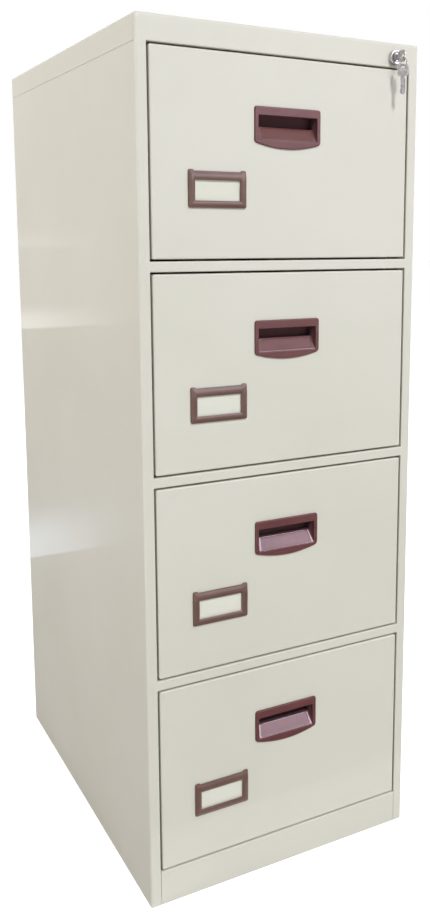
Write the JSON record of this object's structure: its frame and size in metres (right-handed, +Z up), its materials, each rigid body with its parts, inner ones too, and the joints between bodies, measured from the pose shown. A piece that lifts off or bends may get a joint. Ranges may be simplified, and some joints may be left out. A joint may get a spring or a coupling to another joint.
{
  "type": "filing cabinet",
  "caption": "Tall steel filing cabinet with stacked pull-out drawers, flush brown pull handles, label holders and a key lock that bars every drawer.",
  "frame": {"origin": "on the floor under the middle of the case's width and depth", "axes": "+Z up, +X to the right as seen from the front, -Y towards the front"},
  "size_m": [0.47, 0.704, 1.32],
  "materials": {
    "case_paint": "cream satin powder coat",
    "zinc_steel": "zinc plated",
    "brown_plastic": "satin moulded brown",
    "nickel_plate": "nickel plated",
    "card": "plain card"
  },
  "bodies": {
    "cabinet": {"side_left": "case_paint", "side_right": "case_paint", "top_cap": "case_paint", "back_panel": "case_paint", "base_plate": "case_paint", "plinth": "case_paint", "top_rail": "case_paint", "cross_rails": "case_paint", "uprights_left": "zinc_steel", "uprights_right": "zinc_steel", "lock_housing": "nickel_plate", "lock_nut": "zinc_steel", "lock_bar_guides": "zinc_steel", "runner_pair_1": "zinc_steel", "runner_pair_2": "zinc_steel", "runner_pair_3": "zinc_steel", "runner_pair_4": "zinc_steel"},
    "drawer_1": {"drawer_front_1": "case_paint", "drawer_tray_1": "case_paint", "handle_1": "brown_plastic", "label_holder_1": "brown_plastic", "label_card_1": "card", "rail_pair_1": "zinc_steel"},
    "slide_1": {"slide_pair_1": "zinc_steel"},
    "ball_cage_outer_1": {"cage_outer_1": "nickel_plate"},
    "ball_cage_inner_1": {"cage_inner_1": "nickel_plate"},
    "drawer_2": {"drawer_front_2": "case_paint", "drawer_tray_2": "case_paint", "handle_2": "brown_plastic", "label_holder_2": "brown_plastic", "label_card_2": "card", "rail_pair_2": "zinc_steel"},
    "slide_2": {"slide_pair_2": "zinc_steel"},
    "ball_cage_outer_2": {"cage_outer_2": "nickel_plate"},
    "ball_cage_inner_2": {"cage_inner_2": "nickel_plate"},
    "drawer_3": {"drawer_front_3": "case_paint", "drawer_tray_3": "case_paint", "handle_3": "brown_plastic", "label_holder_3": "brown_plastic", "label_card_3": "card", "rail_pair_3": "zinc_steel"},
    "slide_3": {"slide_pair_3": "zinc_steel"},
    "ball_cage_outer_3": {"cage_outer_3": "nickel_plate"},
    "ball_cage_inner_3": {"cage_inner_3": "nickel_plate"},
    "drawer_4": {"drawer_front_4": "case_paint", "drawer_tray_4": "case_paint", "handle_4": "brown_plastic", "label_holder_4": "brown_plastic", "label_card_4": "card", "rail_pair_4": "zinc_steel"},
    "slide_4": {"slide_pair_4": "zinc_steel"},
    "ball_cage_outer_4": {"cage_outer_4": "nickel_plate"},
    "ball_cage_inner_4": {"cage_inner_4": "nickel_plate"},
    "lock_plug": {"lock_plug": "nickel_plate", "lock_cam": "zinc_steel", "key": "nickel_plate"},
    "lock_bar": {"lock_bar": "zinc_steel", "lock_lugs": "zinc_steel"},
    "key_ring": {"key_ring": "nickel_plate"}
  },
  "joints": [
    {"name": "drawer_1_pull", "type": "slide", "parent": "cabinet", "child": "drawer_1", "axis": [0, -1, 0], "range_m": [0, 0.56]},
    {"name": "slide_1_run", "type": "slide", "parent": "cabinet", "child": "slide_1", "axis": [0, -1, 0], "range_m": [0, 0.28]},
    {"name": "ball_cage_outer_1_run", "type": "slide", "parent": "cabinet", "child": "ball_cage_outer_1", "axis": [0, -1, 0], "range_m": [0, 0.14]},
    {"name": "ball_cage_inner_1_run", "type": "slide", "parent": "cabinet", "child": "ball_cage_inner_1", "axis": [0, -1, 0], "range_m": [0, 0.42]},
    {"name": "drawer_2_pull", "type": "slide", "parent": "cabinet", "child": "drawer_2", "axis": [0, -1, 0], "range_m": [0, 0.56]},
    {"name": "slide_2_run", "type": "slide", "parent": "cabinet", "child": "slide_2", "axis": [0, -1, 0], "range_m": [0, 0.28]},
    {"name": "ball_cage_outer_2_run", "type": "slide", "parent": "cabinet", "child": "ball_cage_outer_2", "axis": [0, -1, 0], "range_m": [0, 0.14]},
    {"name": "ball_cage_inner_2_run", "type": "slide", "parent": "cabinet", "child": "ball_cage_inner_2", "axis": [0, -1, 0], "range_m": [0, 0.42]},
    {"name": "drawer_3_pull", "type": "slide", "parent": "cabinet", "child": "drawer_3", "axis": [0, -1, 0], "range_m": [0, 0.56]},
    {"name": "slide_3_run", "type": "slide", "parent": "cabinet", "child": "slide_3", "axis": [0, -1, 0], "range_m": [0, 0.28]},
    {"name": "ball_cage_outer_3_run", "type": "slide", "parent": "cabinet", "child": "ball_cage_outer_3", "axis": [0, -1, 0], "range_m": [0, 0.14]},
    {"name": "ball_cage_inner_3_run", "type": "slide", "parent": "cabinet", "child": "ball_cage_inner_3", "axis": [0, -1, 0], "range_m": [0, 0.42]},
    {"name": "drawer_4_pull", "type": "slide", "parent": "cabinet", "child": "drawer_4", "axis": [0, -1, 0], "range_m": [0, 0.56]},
    {"name": "slide_4_run", "type": "slide", "parent": "cabinet", "child": "slide_4", "axis": [0, -1, 0], "range_m": [0, 0.28]},
    {"name": "ball_cage_outer_4_run", "type": "slide", "parent": "cabinet", "child": "ball_cage_outer_4", "axis": [0, -1, 0], "range_m": [0, 0.14]},
    {"name": "ball_cage_inner_4_run", "type": "slide", "parent": "cabinet", "child": "ball_cage_inner_4", "axis": [0, -1, 0], "range_m": [0, 0.42]},
    {"name": "lock_turn", "type": "hinge", "parent": "cabinet", "child": "lock_plug", "pos_m": [0.19, -0.3375, 1.2975], "axis": [0, -1, 0], "range_deg": [0, 90]},
    {"name": "lock_bar_lift", "type": "slide", "parent": "cabinet", "child": "lock_bar", "axis": [0, 0, 1], "range_m": [0, 0.01273]},
    {"name": "ring_swing", "type": "hinge", "parent": "lock_plug", "child": "key_ring", "pos_m": [0.19, -0.361, 1.2958], "axis": [1, 0, 0], "range_deg": [-40, 12]}
  ],
  "couplings": [
    {"joint": "slide_1_run", "follows": "drawer_1_pull", "ratio": 0.5},
    {"joint": "ball_cage_outer_1_run", "follows": "drawer_1_pull", "ratio": 0.25},
    {"joint": "ball_cage_inner_1_run", "follows": "drawer_1_pull", "ratio": 0.75},
    {"joint": "slide_2_run", "follows": "drawer_2_pull", "ratio": 0.5},
    {"joint": "ball_cage_outer_2_run", "follows": "drawer_2_pull", "ratio": 0.25},
    {"joint": "ball_cage_inner_2_run", "follows": "drawer_2_pull", "ratio": 0.75},
    {"joint": "slide_3_run", "follows": "drawer_3_pull", "ratio": 0.5},
    {"joint": "ball_cage_outer_3_run", "follows": "drawer_3_pull", "ratio": 0.25},
    {"joint": "ball_cage_inner_3_run", "follows": "drawer_3_pull", "ratio": 0.75},
    {"joint": "slide_4_run", "follows": "drawer_4_pull", "ratio": 0.5},
    {"joint": "ball_cage_outer_4_run", "follows": "drawer_4_pull", "ratio": 0.25},
    {"joint": "ball_cage_inner_4_run", "follows": "drawer_4_pull", "ratio": 0.75},
    {"joint": "lock_turn", "follows": "lock_bar_lift", "rad_per_m": 123.41}
  ]
}
